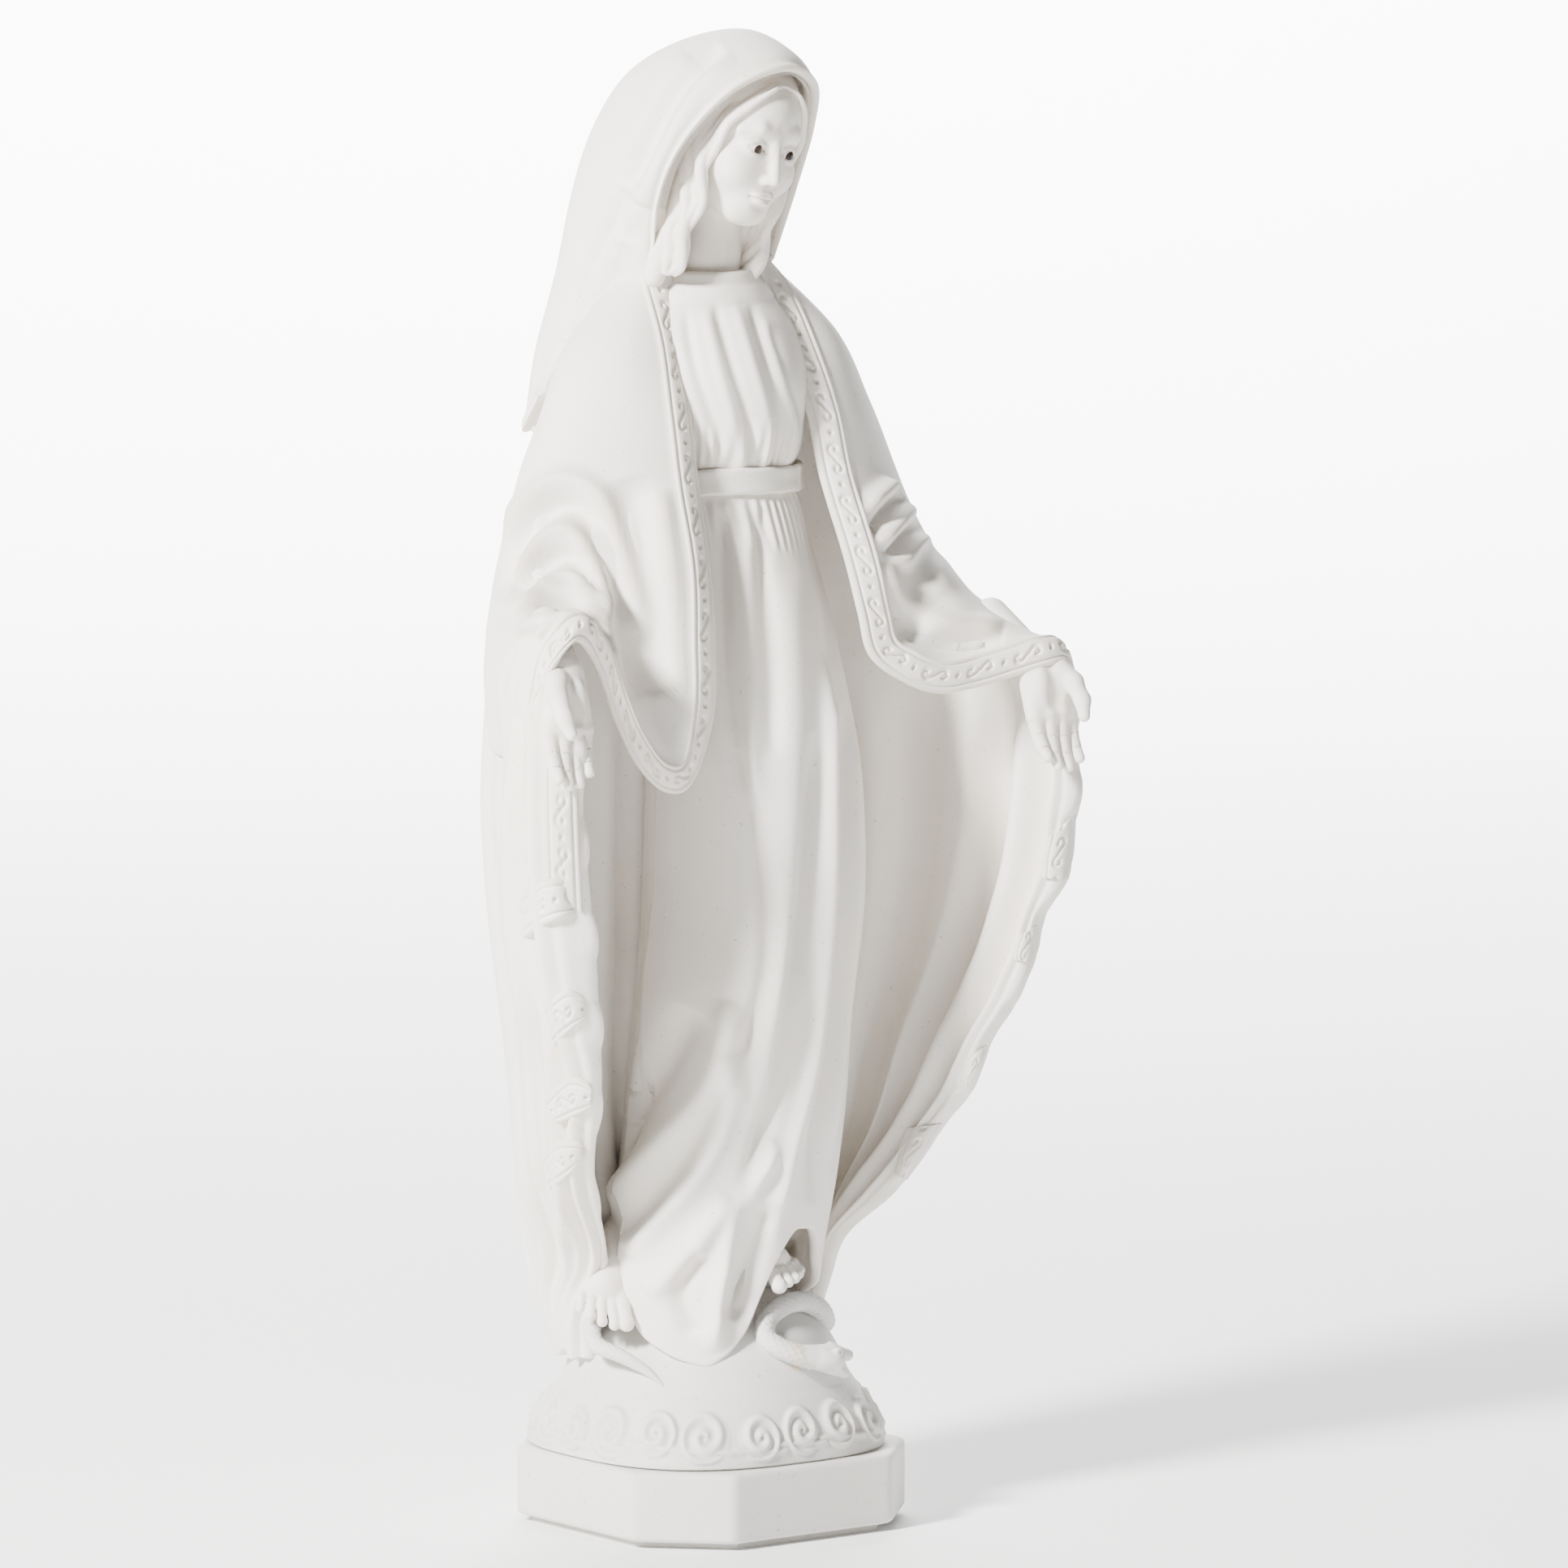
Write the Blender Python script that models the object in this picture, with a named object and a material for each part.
"""Standing madonna statuette, cast in separate pieces and joined: plinth, globe, serpent, gown, mantle, veil, head, hands.

Frame: +Z up, the figure faces -Y, the underside of the plinth's pad is z = 0 and the plinth's centre is x = y = 0.
The figure's outlines are written in millimetres on a 400 mm statuette, and scaled by HEIGHT.
"""

import math

import bpy
import numpy as np

# ---------------------------------------------------------------- driving dimensions, metres
HEIGHT = 0.396          # underside of the pad to the top of the veil
SPAN = 0.178            # widest part of the mantle, over the two hands
GAP = 0.0004            # clearance between two joined castings, filled with adhesive on the real one
PLINTH_SIDE = 0.090     # flat to flat
PLINTH_CHAMFER = 0.019  # cut from each corner of the square
PLINTH_TOP = 0.0205     # height of the plinth's upper face
PAD_THICK = 0.0015      # felt under the plinth
ROD_DIAMETER = 0.005    # threaded tie rod, M5
PIN_DIAMETER = 0.0022   # steel dowels in the wrists and the neck
EYE_DIAMETER = 0.0030   # glass eyes
SASH_THICK = 0.0014     # how far the belt stands off the gown
MANTLE_WALL = 0.0040    # the mantle's wings, outside to inside

# ---------------------------------------------------------------- sizes that follow from them
MM = HEIGHT / 396.0                       # one figure millimetre, in metres
WING = (SPAN / MM / 2 - 30.0) / 59.0      # stretches what lies more than 30 mm from the middle
GAP_MM = GAP / MM
WALL_MM = MANTLE_WALL / MM
BASE_MM = PLINTH_TOP / MM
ROD_X, ROD_Y = -2.0, 7.0                  # the rod stands behind the serpent
ROD_TOP = 96.0


def clear_scene():
    for obj in list(bpy.data.objects):
        bpy.data.objects.remove(obj, do_unlink=True)


def material(name, colour, roughness):
    made = bpy.data.materials.new(name)
    made.use_nodes = True
    shader = made.node_tree.nodes["Principled BSDF"]
    shader.inputs["Base Color"].default_value = (*colour, 1.0)
    shader.inputs["Roughness"].default_value = roughness
    return made


def wide(x):
    """Moves what lies beyond 30 mm from the middle in or out, so that the arms' spread follows SPAN."""
    size = np.abs(x)
    return np.sign(x) * (np.minimum(size, 30.0) + np.maximum(size - 30.0, 0.0) * WING)


def mesh_object(name, points, faces, finish=None):
    """A mesh from points in figure millimetres. Without a finish it is a hidden cutter."""
    points = np.asarray(points, float).copy()
    points[:, 0] = wide(points[:, 0])
    mesh = bpy.data.meshes.new(name)
    mesh.from_pydata([tuple(p) for p in points * MM], [], [tuple(f) for f in faces])
    mesh.validate()
    obj = bpy.data.objects.new(name, mesh)
    bpy.context.scene.collection.objects.link(obj)
    if finish is None:
        obj.hide_render = True
        obj.display_type = "WIRE"
    else:
        mesh.materials.append(material(*finish))
    return obj


def ring_faces(rows, columns, fans=False):
    """Triangles between closed rings, and over each end one flat face, or with fans a fan round an added centre."""
    faces = []
    for i in range(rows - 1):
        for j in range(columns):
            k = (j + 1) % columns
            a, b = i * columns + j, i * columns + k
            c, d = a + columns, b + columns
            faces.append((a, b, d))
            faces.append((a, d, c))
    top = (rows - 1) * columns
    if not fans:
        return [*faces, tuple(reversed(range(columns))), tuple(range(top, top + columns))]
    low, high = rows * columns, rows * columns + 1
    for j in range(columns):
        k = (j + 1) % columns
        faces.append((low, k, j))
        faces.append((high, top + j, top + k))
    return faces


def loft(name, rings, finish=None):
    """Closed solid over rings[row, column, xyz]; each ring runs counter-clockwise seen from above, rows go up."""
    rings = np.asarray(rings, float)
    rows, columns = rings.shape[:2]
    return mesh_object(name, rings.reshape(-1, 3), ring_faces(rows, columns), finish)


def curve_through(points, count, closed=False):
    """Catmull-Rom curve through the points, at count even steps of its parameter."""
    p = np.asarray(points, float)
    n = len(p)
    spans = n if closed else n - 1
    t = np.linspace(0, spans, count, endpoint=not closed)
    i = np.minimum(t.astype(int), spans - 1)
    f = (t - i)[:, None]
    if closed:
        a, b, c, d = (p[(i + k) % n] for k in (-1, 0, 1, 2))
    else:
        a, b, c, d = (p[np.clip(i + k, 0, n - 1)] for k in (-1, 0, 1, 2))
    return 0.5 * (2 * b + (c - a) * f + (2 * a - 5 * b + 4 * c - d) * f**2 + (3 * b - 3 * c + d - a) * f**3)


def spread(outline, amount):
    """Moves a closed counter-clockwise xy outline outwards by amount."""
    ahead = np.roll(outline, -1, axis=0)
    back = np.roll(outline, 1, axis=0)
    along = ahead - back
    along /= np.linalg.norm(along, axis=1)[:, None] + 1e-9
    return outline + amount * np.stack([along[:, 1], -along[:, 0]], axis=1)


def outlines(table, columns, grow=0.0, lift=0.0, rows_between=1):
    """Rings of a table of (z, xy control points). grow moves the walls out, lift moves the ends out."""
    levels = [row[0] for row in table]
    rings = []
    for z, control in table:
        flat = curve_through(control, columns, closed=True)
        if grow:
            flat = spread(flat, grow)
        rings.append(np.column_stack([flat, np.full(columns, z)]))
    rings = np.array(rings)
    if rows_between > 1:
        count = (len(levels) - 1) * rows_between + 1
        rings = curve_through(rings.reshape(len(levels), -1), count).reshape(count, columns, 3)
    rings[0, :, 2] -= lift
    rings[-1, :, 2] += lift
    return rings


def ovals(table, columns, grow=0.0, lift=0.0, power=2.0):
    """Rings from (z, centre x, centre y, half width, front depth, back depth)."""
    turn = np.linspace(0, 2 * math.pi, columns, endpoint=False)
    c, s = np.cos(turn), np.sin(turn)
    shape = (np.abs(c) ** power + np.abs(s) ** power) ** (-1 / power)
    rings = []
    for z, x, y, half, front, back in table:
        deep = np.where(s < 0, front, back) + grow
        rings.append(np.column_stack([x + (half + grow) * c * shape, y + deep * s * shape, np.full(columns, z)]))
    rings = np.array(rings)
    rings[0, :, 2] -= lift
    rings[-1, :, 2] += lift
    return rings


def mirrored(table):
    """The same outlines for the other side, still counter-clockwise."""
    return [(z, [(-x, y) for x, y in reversed(points)]) for z, points in table]


def tube(name, path, radii, sides, finish=None, flat=1.0):
    """A round bar along a path, with closed ends."""
    path, radii = np.asarray(path, float), np.asarray(radii, float)
    along = np.gradient(path, axis=0)
    along /= np.linalg.norm(along, axis=1)[:, None]
    side = np.cross(along, [0.0, 0.0, 1.0])
    weak = np.linalg.norm(side, axis=1) < 0.2
    side[weak] = np.cross(along[weak], [0.0, 1.0, 0.0])
    side /= np.linalg.norm(side, axis=1)[:, None]
    up = np.cross(side, along)
    turn = np.linspace(0, 2 * math.pi, sides, endpoint=False)
    rings = (
        path[:, None]
        + radii[:, None, None] * np.cos(turn)[None, :, None] * side[:, None]
        + flat * radii[:, None, None] * np.sin(turn)[None, :, None] * up[:, None]
    )
    points = np.vstack([rings.reshape(-1, 3), path[0], path[-1]])
    faces = [tuple(reversed(f)) for f in ring_faces(len(path), sides, fans=True)]
    obj = mesh_object(name, points, faces, finish)
    outward(obj)
    return obj


def outward(obj):
    """Turns the faces out if the signed volume says that they face in."""
    corners = np.array([[obj.data.vertices[i].co for i in p.vertices[:3]] for p in obj.data.polygons])
    if np.linalg.det(corners).sum() < 0:
        obj.data.flip_normals()


def rod(name, start, end, radius, sides, finish=None):
    start, end = np.asarray(start, float), np.asarray(end, float)
    return tube(name, [start, (start + end) / 2, end], [radius] * 3, sides, finish)


def cut(target, *cutters):
    for cutter in cutters:
        step = target.modifiers.new("cut_" + cutter.name, "BOOLEAN")
        step.operation = "DIFFERENCE"
        step.solver = "EXACT"
        step.object = cutter


def add(target, *extras):
    for extra in extras:
        step = target.modifiers.new("add_" + extra.name, "BOOLEAN")
        step.operation = "UNION"
        step.solver = "EXACT"
        step.object = extra


# ---------------------------------------------------------------- outline tables, figure millimetres
GLOBE = [  # z, centre x, centre y, half width, front, back
    (23.0, -1.0, 0.6, 43.6, 43.6, 43.6),
    (29.0, -1.0, 1.0, 42.0, 42.0, 42.0),
    (37.0, -1.0, 2.0, 39.0, 39.0, 39.0),
    (46.0, -1.0, 2.0, 35.2, 35.2, 35.2),
    (53.0, -1.0, 2.0, 31.0, 31.0, 31.0),
    (58.0, -1.0, 2.0, 25.0, 25.0, 25.0),
    (61.5, -1.0, 2.0, 16.0, 16.0, 16.0),
    (63.0, -1.0, 2.0, 6.0, 6.0, 6.0),
]
GOWN = [
    (44.0, -5.0, -3.0, 30.0, 30.0, 26.0),
    (56.0, -5.0, -3.0, 31.0, 29.0, 26.0),
    (72.0, -3.0, -4.0, 31.0, 27.0, 25.0),
    (92.0, 0.0, -6.0, 31.0, 27.0, 24.0),
    (115.0, 2.0, -8.0, 31.0, 27.0, 24.0),
    (140.0, 4.0, -9.0, 31.0, 28.0, 24.0),
    (165.0, 6.0, -10.0, 31.5, 27.5, 24.0),
    (190.0, 6.5, -10.0, 31.0, 27.0, 24.0),
    (215.0, 5.5, -9.0, 29.0, 26.0, 23.0),
    (240.0, 3.5, -7.0, 26.5, 23.5, 21.0),
    (262.0, 1.0, -5.0, 24.0, 19.5, 18.0),
    (275.0, 0.0, -4.0, 23.0, 16.5, 16.0),
    (281.0, 0.0, -4.0, 23.0, 16.5, 16.0),
    (292.0, 0.0, -4.0, 24.5, 19.5, 16.0),
    (305.0, 0.0, -3.0, 25.5, 20.5, 16.0),
    (317.0, 0.0, -1.0, 24.0, 17.0, 15.0),
    (326.0, -0.5, 0.5, 18.0, 13.5, 12.0),
    (332.0, -0.5, 0.5, 12.5, 12.0, 10.0),
]
MANTLE = [  # z, then the outer half outline from the back's middle to the edge, then the inner one back to the middle
    (46.0, [(0, 33), (19, 31), (33, 24), (39, 14), (39.5, 8), (38, 4)], [(35, 4), (32, 10), (20, 14), (10, 14), (0, 12)]),
    (60.0, [(0, 36), (22, 34), (39, 26), (44, 14), (42.5, 4), (39, 0)], [(36, 2), (36, 8), (26, 12), (12, 12), (0, 10)]),
    (75.0, [(0, 37), (24, 35), (43, 25), (48, 9), (44, -4), (40, -6)], [(37, -3), (42, 4), (32, 9), (15, 10), (0, 8)]),
    (98.0, [(0, 38), (26, 36), (46, 25), (59, 4), (60, -16), (54, -20)], [(52, -15), (53, 0), (36, 8), (18, 8), (0, 6)]),
    (124.0, [(0, 39), (28, 37), (49, 25), (66, 0), (70, -27), (64, -33)], [(61, -27), (60, -4), (40, 7), (20, 6), (0, 4)]),
    (150.0, [(0, 40), (28, 38), (52, 25), (74, -5), (81, -33), (76, -40)], [(71, -35), (67, -10), (42, 6), (20, 4), (0, 2)]),
    (176.0, [(0, 40), (28, 38), (54, 25), (78, -8), (87, -37), (82, -44)], [(77, -39), (71, -14), (43, 5), (20, 4), (0, 2)]),
    (202.0, [(0, 40), (28, 38), (54, 25), (80, -9), (89.5, -38), (85, -45)], [(80, -40), (73, -15), (43, 5), (20, 4), (0, 2)]),
    (222.0, [(0, 39), (28, 37), (54, 24), (79, -9), (89, -37), (84, -44)], [(79, -39), (72, -14), (42, 6), (20, 4), (0, 2)]),
    (240.0, [(0, 38), (26, 35), (50, 23), (70, 1), (75, -14), (70, -17)], [(66, -12), (60, 2), (40, 8), (20, 4), (0, 2)]),
    (262.0, [(0, 36), (25, 33), (46, 22), (59, 9), (62, 0), (58, -3)], [(54, 1), (48, 8), (34, 10), (16, 6), (0, 4)]),
    (285.0, [(0, 33), (22, 30), (40, 20), (51, 9), (53, 2), (49, 0)], [(45, 3), (40, 8), (30, 8), (15, 6), (0, 4)]),
    (305.0, [(0, 30), (20, 27), (35, 18), (45, 8), (46, 2), (42, 0)], [(38, 2), (34, 6), (26, 7), (14, 5), (0, 4)]),
    (320.0, [(0, 26), (17, 23), (28, 15), (35, 8), (36, 3), (33, 1)], [(30, 2), (26, 5), (20, 6), (10, 5), (0, 4)]),
    (331.0, [(0, 20), (10, 18), (17, 13), (22, 8), (22, 5), (20, 3)], [(18, 3), (16, 5), (12, 5), (6, 5), (0, 4)]),
]
DRAPE = [  # the statue's left arm under the mantle's front, z and one closed outline
    (224.0, [(35, -39), (42, -41), (52, -43), (61, -46), (66, -45), (62, -40), (52, -36), (42, -35)]),
    (231.0, [(30, -38), (38, -40), (52, -41), (70, -50), (84, -50), (86, -36), (66, -24), (40, -24)]),
    (240.0, [(26, -35), (34, -37), (48, -33), (70, -48), (86, -45), (82, -14), (56, -2), (28, -14)]),
    (248.0, [(25, -33), (33, -34), (47, -29), (67, -38), (80, -34), (77, -8), (58, 7), (26, -12)]),
    (258.0, [(24, -30), (31, -32), (46, -25), (62, -20), (69, -4), (58, 14), (36, 10), (22, -10)]),
    (278.0, [(21, -22), (28, -24), (42, -19), (55, -8), (59, 4), (48, 17), (30, 12), (20, -6)]),
    (296.0, [(20, -17), (26, -19), (38, -15), (48, -6), (51, 5), (40, 15), (26, 11), (18, -4)]),
    (315.0, [(18, -9), (24, -11), (33, -9), (40, -1), (41, 7), (32, 13), (22, 10), (16, 0)]),
    (330.0, [(15, -3), (19, -5), (24, -3), (29, 2), (28, 8), (23, 11), (17, 8), (14, 2)]),
]
RIGHT_TAIL = [  # below the right arm the mantle's front hangs on in a deeper loop
    (200.0, [(33, -36), (36, -38), (41, -38.5), (46, -39), (49, -38), (46, -35), (41, -33.5), (35, -33)]),
    (212.0, [(30, -37), (37, -39), (48, -40), (58, -42), (62, -41), (58, -35), (48, -31), (34, -31)]),
]
VEIL = [
    (289.0, 0.0, 19.0, 44.0, 10.0, 24.0),
    (296.0, 0.0, 17.0, 43.0, 14.0, 25.0),
    (305.0, 0.0, 14.0, 40.0, 15.0, 26.0),
    (313.0, 0.0, 12.0, 36.0, 15.0, 27.0),
    (322.0, 0.0, 10.0, 32.0, 18.0, 27.0),
    (330.0, 0.0, 9.0, 29.0, 22.0, 27.0),
    (339.0, 0.0, 8.0, 26.5, 25.0, 27.0),
    (347.0, 0.0, 6.0, 25.0, 28.0, 28.0),
    (356.0, 0.0, 2.0, 25.0, 29.0, 29.0),
    (364.0, 1.0, -1.0, 25.0, 29.0, 28.5),
    (373.0, 2.0, -4.0, 24.0, 27.5, 28.0),
    (381.0, 2.0, -6.0, 21.0, 24.0, 25.0),
    (388.5, 2.0, -6.0, 15.0, 17.0, 18.0),
    (393.5, 2.0, -5.5, 9.0, 10.0, 11.0),
    (395.6, 2.0, -5.5, 3.0, 4.0, 4.0),
]
HEAD = [
    (320.0, -0.5, 0.5, 7.4, 7.4, 7.4),
    (331.0, -0.5, 0.0, 7.6, 7.8, 8.0),
    (338.0, -1.0, -0.5, 8.2, 8.2, 9.0),
    (343.5, -0.8, -2.5, 9.0, 10.5, 10.5),
    (346.5, -0.4, -5.0, 10.5, 14.0, 13.0),
    (351.0, 0.0, -6.0, 14.0, 15.6, 16.0),
    (358.0, 0.8, -6.5, 16.6, 16.6, 18.5),
    (366.0, 1.6, -7.0, 17.8, 16.6, 19.5),
    (374.0, 2.4, -7.5, 17.4, 17.4, 19.0),
    (381.0, 3.0, -7.5, 14.0, 16.0, 15.0),
    (386.0, 3.2, -7.5, 8.5, 10.0, 9.0),
    (388.0, 3.2, -7.5, 3.0, 4.0, 3.0),
]
TOE_PATHS = {  # each foot: sole path from inside the gown to the ball, and the toes from the big one outwards
    "right_foot": ([(-24, 4, 66), (-33, -4, 62), (-38, -8, 57)],
                   [((-34.5, -9, 55.9), (-36.7, -14.4, 51.4)), ((-37, -8.5, 56.5), (-39.8, -13.4, 51)),
                    ((-39, -7.5, 57.5), (-42.3, -11.2, 52.8)), ((-40.6, -6, 58.5), (-44.2, -8.8, 54.8)),
                    ((-41.8, -4.4, 59.4), (-45.2, -6.2, 57))]),
    "left_foot": ([(3, -12, 80), (6, -21, 76.5), (8, -26, 73)],
                  [((4.4, -27, 72), (4.6, -33, 68)), ((6.9, -27.4, 72.6), (7.8, -32.8, 68.8)),
                   ((9.2, -27.2, 72.9), (10.6, -31.9, 69.4)), ((11.3, -26.5, 73), (13.1, -30.4, 70)),
                   ((13.1, -25.4, 73), (15.1, -28.4, 70.6))]),
}
SERPENT_PATH = [  # tail tip, under the right foot, under the gown, then the loop and the head at the left foot
    (-29.0, -29.0, 42.0), (-31.5, -24.0, 46.5), (-36.0, -17.0, 48.0), (-37.0, -8.0, 50.5), (-29.0, -3.0, 59.5),
    (-16.0, -5.0, 65.5), (-3.0, -5.0, 67.0), (10.0, -3.0, 66.0), (21.0, -4.0, 61.0), (28.0, -9.0, 55.0),
    (28.0, -17.0, 53.5), (21.5, -22.0, 59.0), (11.0, -25.5, 61.5), (1.0, -29.0, 60.0), (-6.0, -33.5, 54.5),
    (-4.5, -36.5, 48.0), (2.0, -39.0, 43.0), (10.0, -39.0, 40.5), (18.5, -36.0, 39.5),
]


def globe_rings(grow=0.0, low=None):
    """The globe: a squarish foot that rounds off upwards. It starts at low, or at its own underside."""
    rings = []
    for z, x, y, half, _, _ in GLOBE:
        power = 2.0 + 0.7 * max(0.0, (40.0 - z) / 17.0)
        rings.append(ovals([(z + grow * 0.8, x, y, half, half, half)], 32, grow, power=power)[0])
    rings = np.array(rings)
    if low is not None:
        rings[0, :, 2] = low
    else:
        rings[0, :, 2] = BASE_MM + GAP_MM
    return rings


def mantle_table(grow=0.0):
    """Closed outlines of the mantle, both sides, from the half tables. The inner side follows the wall's thickness."""
    table = []
    for z, outer, inner in MANTLE:
        extra = (WALL_MM - 4.0) * 0.7
        half = [*outer, *[(x - extra * (x > 40), y + extra * (x > 40)) for x, y in inner]]
        right = [(-x, y) for x, y in half]
        table.append((z, [*reversed(half[1:-1]), half[0], *right[1:]]))
    return table


def mirrored_x(points):
    return [(-x, y, z) for x, y, z in points]


def capsule_rings(start, end, first, last, sides=8):
    """Path and radii of a bar with rounded ends, for tube."""
    start, end = np.asarray(start, float), np.asarray(end, float)
    way = (end - start) / np.linalg.norm(end - start)
    path = [start - way * first * 0.6, start, (start + end) / 2, end, end + way * last * 0.75]
    return path, [first * 0.55, first, (first + last) / 2, last, last * 0.45]


def hand_parts(side):
    """Palm rings, then the paths of four fingers and a thumb, for the hand on that side (1 left, -1 right)."""
    out = -1.5 if side > 0 else 1.5
    def at(x, y, z):
        return (side * (x + out), y - 2.0, z)
    palm = [at(73.0, -30.0, 243.0), at(75.5, -36.5, 238.5), at(77.5, -42.5, 231.5), at(78.6, -45.4, 224.0),
            at(79.4, -46.4, 219.0)]
    half = [4.8, 5.0, 6.4, 7.6, 7.2]
    fingers = []
    for k, (spot, length) in enumerate(((-5.4, 12.0), (-1.9, 14.5), (1.7, 15.0), (5.2, 13.0))):
        start = at(79.3 + spot, -46.6, 220.0)
        end = at(80.4 + spot * 1.16, -47.6 - 0.3 * k, 220.0 - length)
        fingers.append((start, end))
    thumb = (at(84.0, -46.0, 230.0), at(88.0, -49.0, 221.0))
    return palm, half, fingers, thumb


STONE = (0.86, 0.84, 0.81)

clear_scene()

# ---------------------------------------------------------------- plinth, pad and fixings
def octagon(side, chamfer, z):
    a, b = side / 2 / MM, (side / 2 - chamfer) / MM
    return [(a, -b, z), (a, b, z), (b, a, z), (-b, a, z), (-a, b, z), (-a, -b, z), (-b, -a, z), (b, -a, z)]


SOFT = 1.2
pad_mm = PAD_THICK / MM
pad_out = PLINTH_SIDE - 0.006
pad = loft("felt_pad", [octagon(pad_out, PLINTH_CHAMFER, 0.0), octagon(pad_out, PLINTH_CHAMFER, pad_mm)],
           ("felt", (0.05, 0.13, 0.08), 0.95))
under = pad_mm + GAP_MM
edge = SOFT * MM * 2
plinth = loft("plinth", [
    octagon(PLINTH_SIDE - edge, PLINTH_CHAMFER - edge * 0.2, under),
    octagon(PLINTH_SIDE, PLINTH_CHAMFER, under + SOFT),
    octagon(PLINTH_SIDE, PLINTH_CHAMFER, BASE_MM - SOFT),
    octagon(PLINTH_SIDE - edge, PLINTH_CHAMFER - edge * 0.2, BASE_MM),
], ("cast_stone_base", (0.80, 0.79, 0.77), 0.8))
rod_r = ROD_DIAMETER / 2 / MM
recess_top = 11.0
washer_t, nut_t = 1.2, 4.4
pocket = rod("pocket_cutter", (ROD_X, ROD_Y, -2), (ROD_X, ROD_Y, recess_top), rod_r * 3.6, 16)
clear_hole = rod("hole_cutter", (ROD_X, ROD_Y, -3), (ROD_X, ROD_Y, ROD_TOP + GAP_MM), rod_r + GAP_MM, 12)
cut(plinth, pocket, clear_hole)
tie_rod = rod("tie_rod", (ROD_X, ROD_Y, 3.2), (ROD_X, ROD_Y, ROD_TOP), rod_r, 12, ("zinc_steel", (0.62, 0.63, 0.64), 0.35))
washer_top = recess_top - GAP_MM
washer_low = washer_top - washer_t
washer = rod("washer", (ROD_X, ROD_Y, washer_low), (ROD_X, ROD_Y, washer_top), rod_r * 3.0, 16,
             ("washer_steel", (0.58, 0.59, 0.60), 0.4))
nut_top = washer_low - GAP_MM
nut = rod("nut", (ROD_X, ROD_Y, nut_top - nut_t), (ROD_X, ROD_Y, nut_top), rod_r * 1.85, 6,
          ("nut_steel", (0.60, 0.60, 0.58), 0.38))
cut(washer, clear_hole)
cut(nut, clear_hole)

# ---------------------------------------------------------------- globe and serpent
globe = loft("globe", globe_rings(), ("cast_stone_globe", (0.83, 0.82, 0.80), 0.8))
cut(globe, clear_hole)
globe_cutter = loft("globe_cutter", globe_rings(GAP_MM, 10.0))

serpent_curve = curve_through(SERPENT_PATH, 46)
run = np.linspace(0, 1, 46)
serpent_r = np.interp(run, [0, 0.05, 0.2, 0.4, 0.6, 0.8, 0.9, 0.96, 1.0], [0.5, 1.3, 2.6, 3.4, 3.8, 3.6, 3.0, 3.4, 1.4])
serpent = tube("serpent", serpent_curve, serpent_r, 8, ("cast_stone_serpent", (0.84, 0.82, 0.79), 0.75))
serpent_cutter = tube("serpent_cutter", serpent_curve, serpent_r + GAP_MM * 1.8, 8)
cut(serpent, globe_cutter)

# ---------------------------------------------------------------- feet
foot_cutters = []
feet = []
for foot_name, (sole, toes) in TOE_PATHS.items():
    pieces = []
    for grown in (0.0, GAP_MM * 1.3):
        finish = ("cast_stone_" + foot_name, STONE, 0.75) if grown == 0 else None
        body_name = foot_name if grown == 0 else foot_name + "_cutter"
        body = tube(body_name, curve_through(sole, 7), np.array([4.4, 5.0, 5.4, 5.6, 5.6, 5.2, 4.0]) + grown, 10, finish, 0.72)
        for n, (start, end) in enumerate(toes):
            size = (1.9 if n == 0 else 1.45) + grown
            path, radii = capsule_rings(start, end, size, size * 0.9)
            toe = tube(f"{body_name}_toe_{n}", path, radii, 6)
            add(body, toe)
        pieces.append(body)
    feet.append(pieces[0])
    foot_cutters.append(pieces[1])
for foot in feet:
    cut(foot, globe_cutter, serpent_cutter)

# ---------------------------------------------------------------- head, eyes and neck pin
def head_rings(grow=0.0):
    return ovals(HEAD, 22, grow, lift=grow)


head = loft("head", head_rings(), ("cast_stone_head", STONE, 0.7))
head_cutter = loft("head_cutter", head_rings(GAP_MM * 1.2))
nose = tube("nose_add", [(2.6, -22.0, 369), (2.1, -24.5, 364), (1.4, -26.0, 359.4), (1.3, -22.0, 357.6)],
            [1.2, 1.6, 2.3, 1.4], 8)
add(head, nose)
eye_r = EYE_DIAMETER / 2 / MM
eyes = []
for eye_name, spot in (("right_eye", (-4.2, -21.9, 365.6)), ("left_eye", (8.0, -21.6, 364.4))):
    for grown in (0.0, GAP_MM):
        path = [np.add(spot, (0, 0, k * (eye_r + grown))) for k in (-0.98, -0.7, 0, 0.7, 0.98)]
        radii = [(eye_r + grown) * k for k in (0.2, 0.71, 1.0, 0.71, 0.2)]
        if grown == 0:
            eyes.append(tube(eye_name, path, radii, 8, ("glass_" + eye_name, (0.05, 0.03, 0.02), 0.1)))
        else:
            cut(head, tube(eye_name + "_cutter", path, radii, 8))
pin_r = PIN_DIAMETER / 2 / MM
neck_pin = rod("neck_pin", (-0.5, 0.5, 302), (-0.5, 0.5, 332), pin_r, 8, ("pin_steel_neck", (0.6, 0.6, 0.6), 0.35))
neck_hole = rod("neck_hole_cutter", (-0.5, 0.5, 302 - GAP_MM), (-0.5, 0.5, 332 + GAP_MM), pin_r + GAP_MM, 8)
cut(head, neck_hole)

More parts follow.
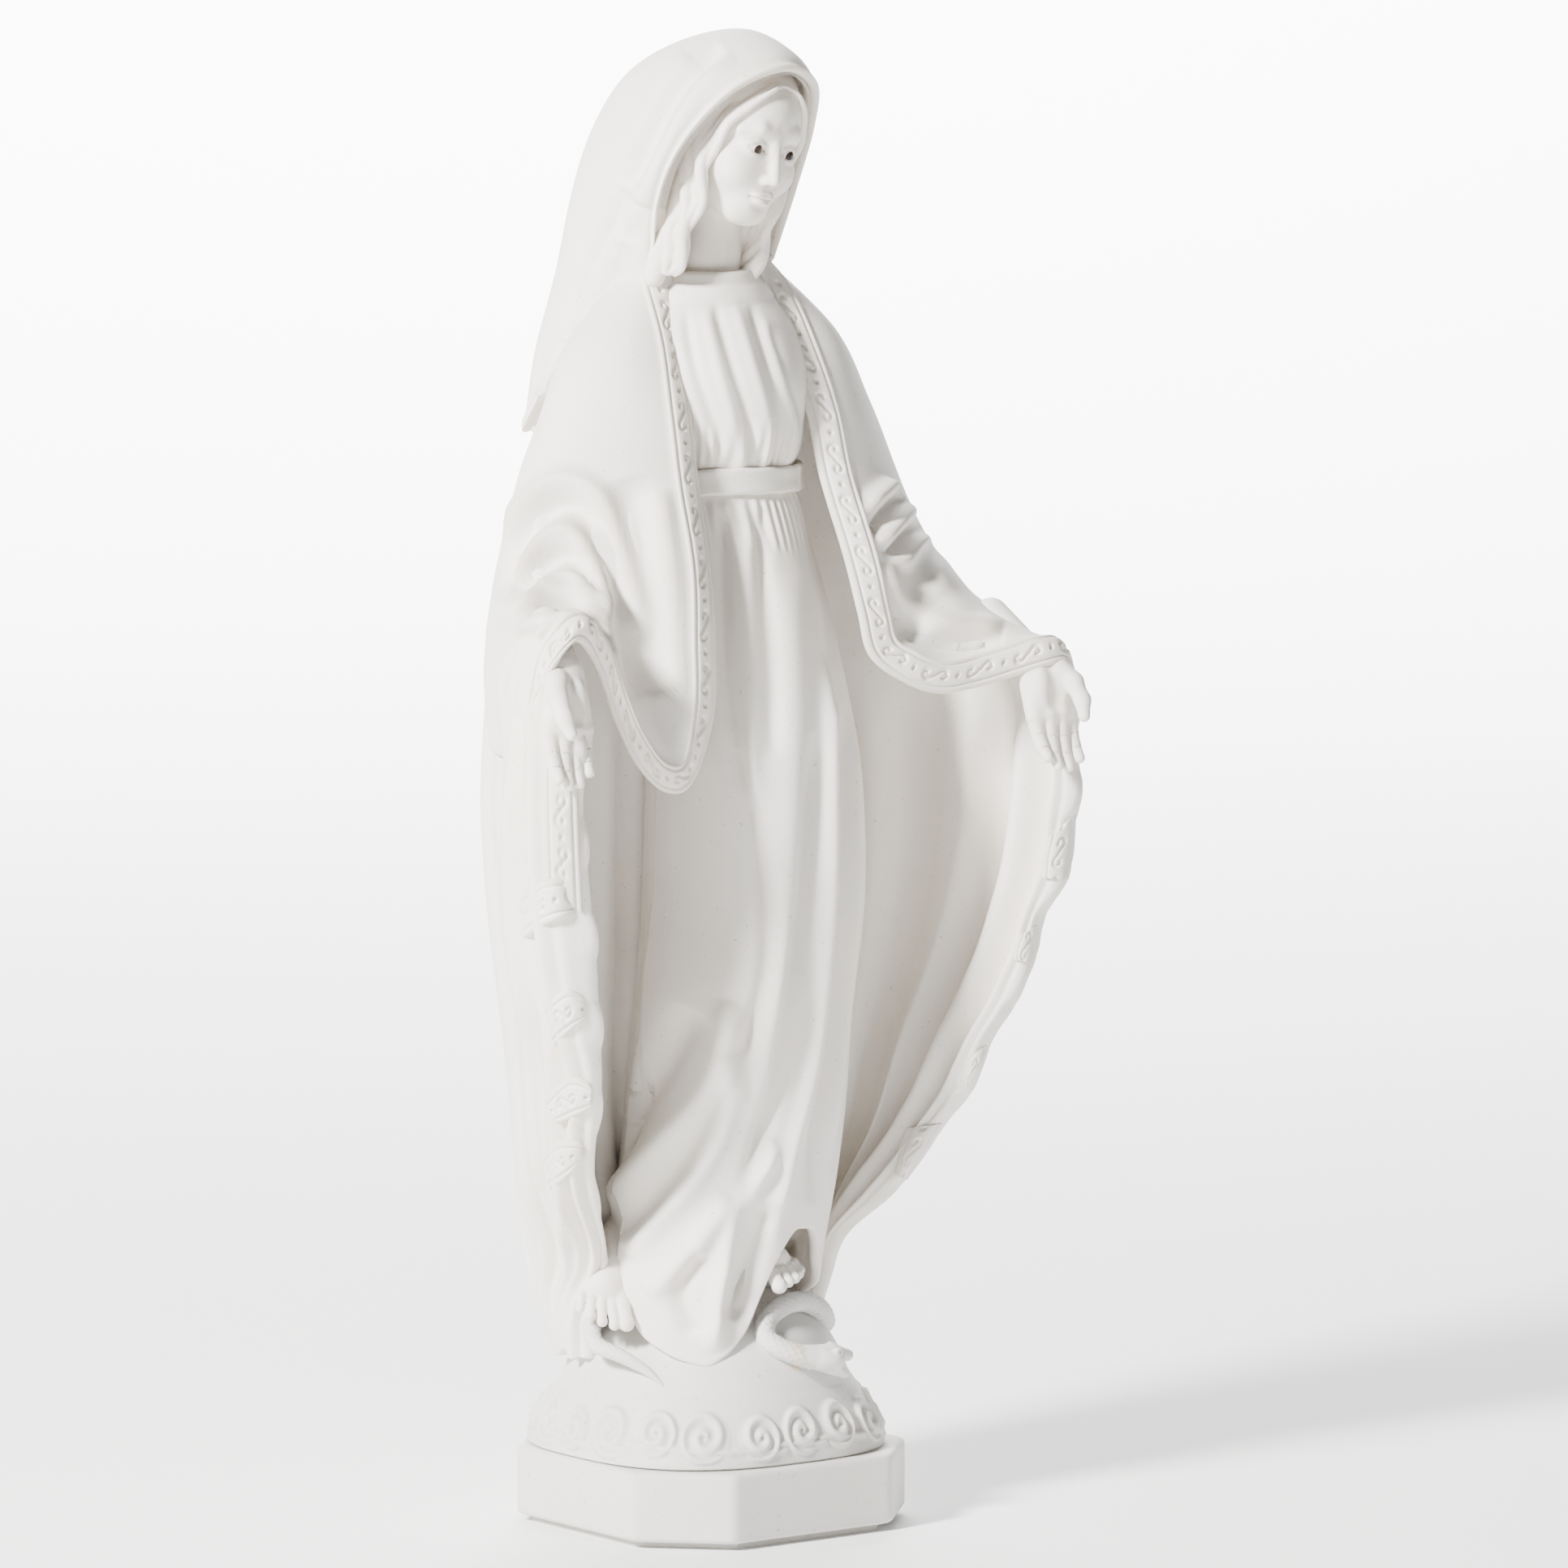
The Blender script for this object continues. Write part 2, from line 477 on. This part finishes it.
# ---------------------------------------------------------------- gown and sash
def gown_rings(grow=0.0, lift=0.0):
    """The gown's walls, with long soft folds below the belt that deepen towards the hem."""
    rings = ovals(GOWN, 36, grow, lift)
    turn = np.linspace(0, 2 * math.pi, 36, endpoint=False)
    for row, (z, x, y, *_) in zip(rings, GOWN):
        depth = np.interp(z, [44, 120, 262, 275], [1.6, 1.2, 0.6, 0.0])
        wave = depth * np.cos(7 * turn + 0.4) * np.clip(-np.sin(turn) + 0.3, 0, 1)
        knee = 5.0 * math.exp(-(((z - 140) / 34) ** 2)) * np.exp(-(((turn - 4.15) / 0.5) ** 2))
        away = row[:, :2] - (x, y)
        reach = np.linalg.norm(away, axis=1)
        row[:, :2] += away / reach[:, None] * (wave + knee)[:, None]
    return rings


def ball(name, centre, radii):
    """A cutter in the shape of an egg."""
    turn = np.linspace(0.12, math.pi - 0.12, 7)
    rings = [(centre[2] - radii[2] * math.cos(t), centre[0], centre[1], radii[0] * math.sin(t),
              radii[1] * math.sin(t), radii[1] * math.sin(t)) for t in turn]
    return loft(name, ovals(rings, 14))


hem_lifts = [ball("left_hem_lift_cutter", (17.0, -24.0, 56.0), (17.0, 15.0, 15.0)),
             ball("right_hem_lift_cutter", (-39.0, -8.0, 58.0), (11.0, 11.0, 12.0))]
gown = loft("gown", gown_rings(), ("cast_stone_gown", STONE, 0.75))
gown_cutter = loft("gown_cutter", gown_rings(GAP_MM * 1.2, GAP_MM))
cut(gown, *hem_lifts, globe_cutter, serpent_cutter, *foot_cutters, head_cutter, neck_hole, clear_hole)

SASH_LOW, SASH_HIGH = 274.5, 281.0
sash_mm = SASH_THICK / MM
def sash_rings(grow=0.0):
    rows = [(SASH_LOW - grow, 0.0, -4.0, 23.2, 16.8, 16.3), (SASH_LOW + 1.4, 0.0, -4.0, 23.2, 16.8, 16.3),
            (SASH_HIGH - 1.4, 0.0, -4.0, 23.2, 16.8, 16.3), (SASH_HIGH + grow, 0.0, -4.0, 23.2, 16.8, 16.3)]
    rings = ovals(rows, 36, sash_mm + grow)
    return rings


sash = loft("sash", sash_rings(), ("cast_stone_sash", STONE, 0.75))
sash_cutter = loft("sash_cutter", sash_rings(GAP_MM))
cut(sash, gown_cutter)

# ---------------------------------------------------------------- mantle
mantle = loft("mantle", outlines(mantle_table(), 46), ("cast_stone_mantle", STONE, 0.75))
mantle_cutter = loft("mantle_cutter", outlines(mantle_table(), 46, GAP_MM * 1.2, GAP_MM))
cut(mantle, gown_cutter, sash_cutter, globe_cutter, serpent_cutter, *foot_cutters)

# ---------------------------------------------------------------- hands and their pins
hands, hand_cutters, pins = [], [], []
for hand_name, side in (("right_hand", -1), ("left_hand", 1)):
    palm, half, fingers, thumb = hand_parts(side)
    made = []
    for grown in (0.0, GAP_MM * 1.3):
        body_name = hand_name if grown == 0 else hand_name + "_cutter"
        finish = ("cast_stone_" + hand_name, STONE, 0.75) if grown == 0 else None
        body = tube(body_name, palm, np.array(half) + grown, 10, finish, 0.55)
        for n, (start, end) in enumerate(fingers):
            path, radii = capsule_rings(start, end, 1.85 + grown, 1.45 + grown)
            add(body, tube(f"{body_name}_finger_{n}", path, radii, 6))
        path, radii = capsule_rings(*thumb, 2.3 + grown, 1.7 + grown)
        add(body, tube(f"{body_name}_thumb", path, radii, 6))
        made.append(body)
    hands.append(made[0])
    hand_cutters.append(made[1])
    low, high = np.array((side * 76.6, -40.6, 238.0)), np.array((side * 66.0, -25.0, 250.0))
    pins.append(rod(hand_name + "_pin", low, high, pin_r, 8, ("pin_steel_" + hand_name, (0.6, 0.6, 0.6), 0.35)))
    way = (high - low) / np.linalg.norm(high - low) * GAP_MM
    hole = rod(hand_name + "_pin_cutter", low - way, high + way, pin_r + GAP_MM, 8)
    hand_cutters.append(hole)
    cut(made[0], hole)
    if side < 0:
        right_set = [made[1], hole]
    else:
        left_set = [made[1], hole]
cut(mantle, *hand_cutters)

# ---------------------------------------------------------------- mantle fronts over the arms
left_table = DRAPE
right_table = mirrored(RIGHT_TAIL + DRAPE)
left_drape = loft("left_drape", outlines(left_table, 28), ("cast_stone_left_drape", STONE, 0.75))
right_drape = loft("right_drape", outlines(right_table, 28), ("cast_stone_right_drape", STONE, 0.75))
left_drape_cutter = loft("left_drape_cutter", outlines(left_table, 28, GAP_MM * 1.2, GAP_MM))
right_drape_cutter = loft("right_drape_cutter", outlines(right_table, 28, GAP_MM * 1.2, GAP_MM))
cut(left_drape, mantle_cutter, gown_cutter, sash_cutter, head_cutter, *left_set)
cut(right_drape, mantle_cutter, gown_cutter, sash_cutter, head_cutter, *right_set)

# ---------------------------------------------------------------- veil
veil = loft("veil", ovals(VEIL, 28), ("cast_stone_veil", STONE, 0.75))
edge_low, edge_high = (2.0, 332.0), (-31.0, 387.0)
slope = (edge_high[0] - edge_low[0]) / (edge_high[1] - edge_low[1])
front = [(-60, edge_low[0] - slope * 60, 272.0), (-60, edge_high[0], edge_high[1]), (-60, -70, 387.0), (-60, -70, 272.0)]
face_opening = mesh_object("face_opening_cutter", [*front, *[(60, y, z) for _, y, z in front]],
                           [(0, 1, 2, 3), (7, 6, 5, 4), (0, 4, 5, 1), (1, 5, 6, 2), (2, 6, 7, 3), (3, 7, 4, 0)])
outward(face_opening)
cut(veil, face_opening, head_cutter, gown_cutter, mantle_cutter, left_drape_cutter, right_drape_cutter)
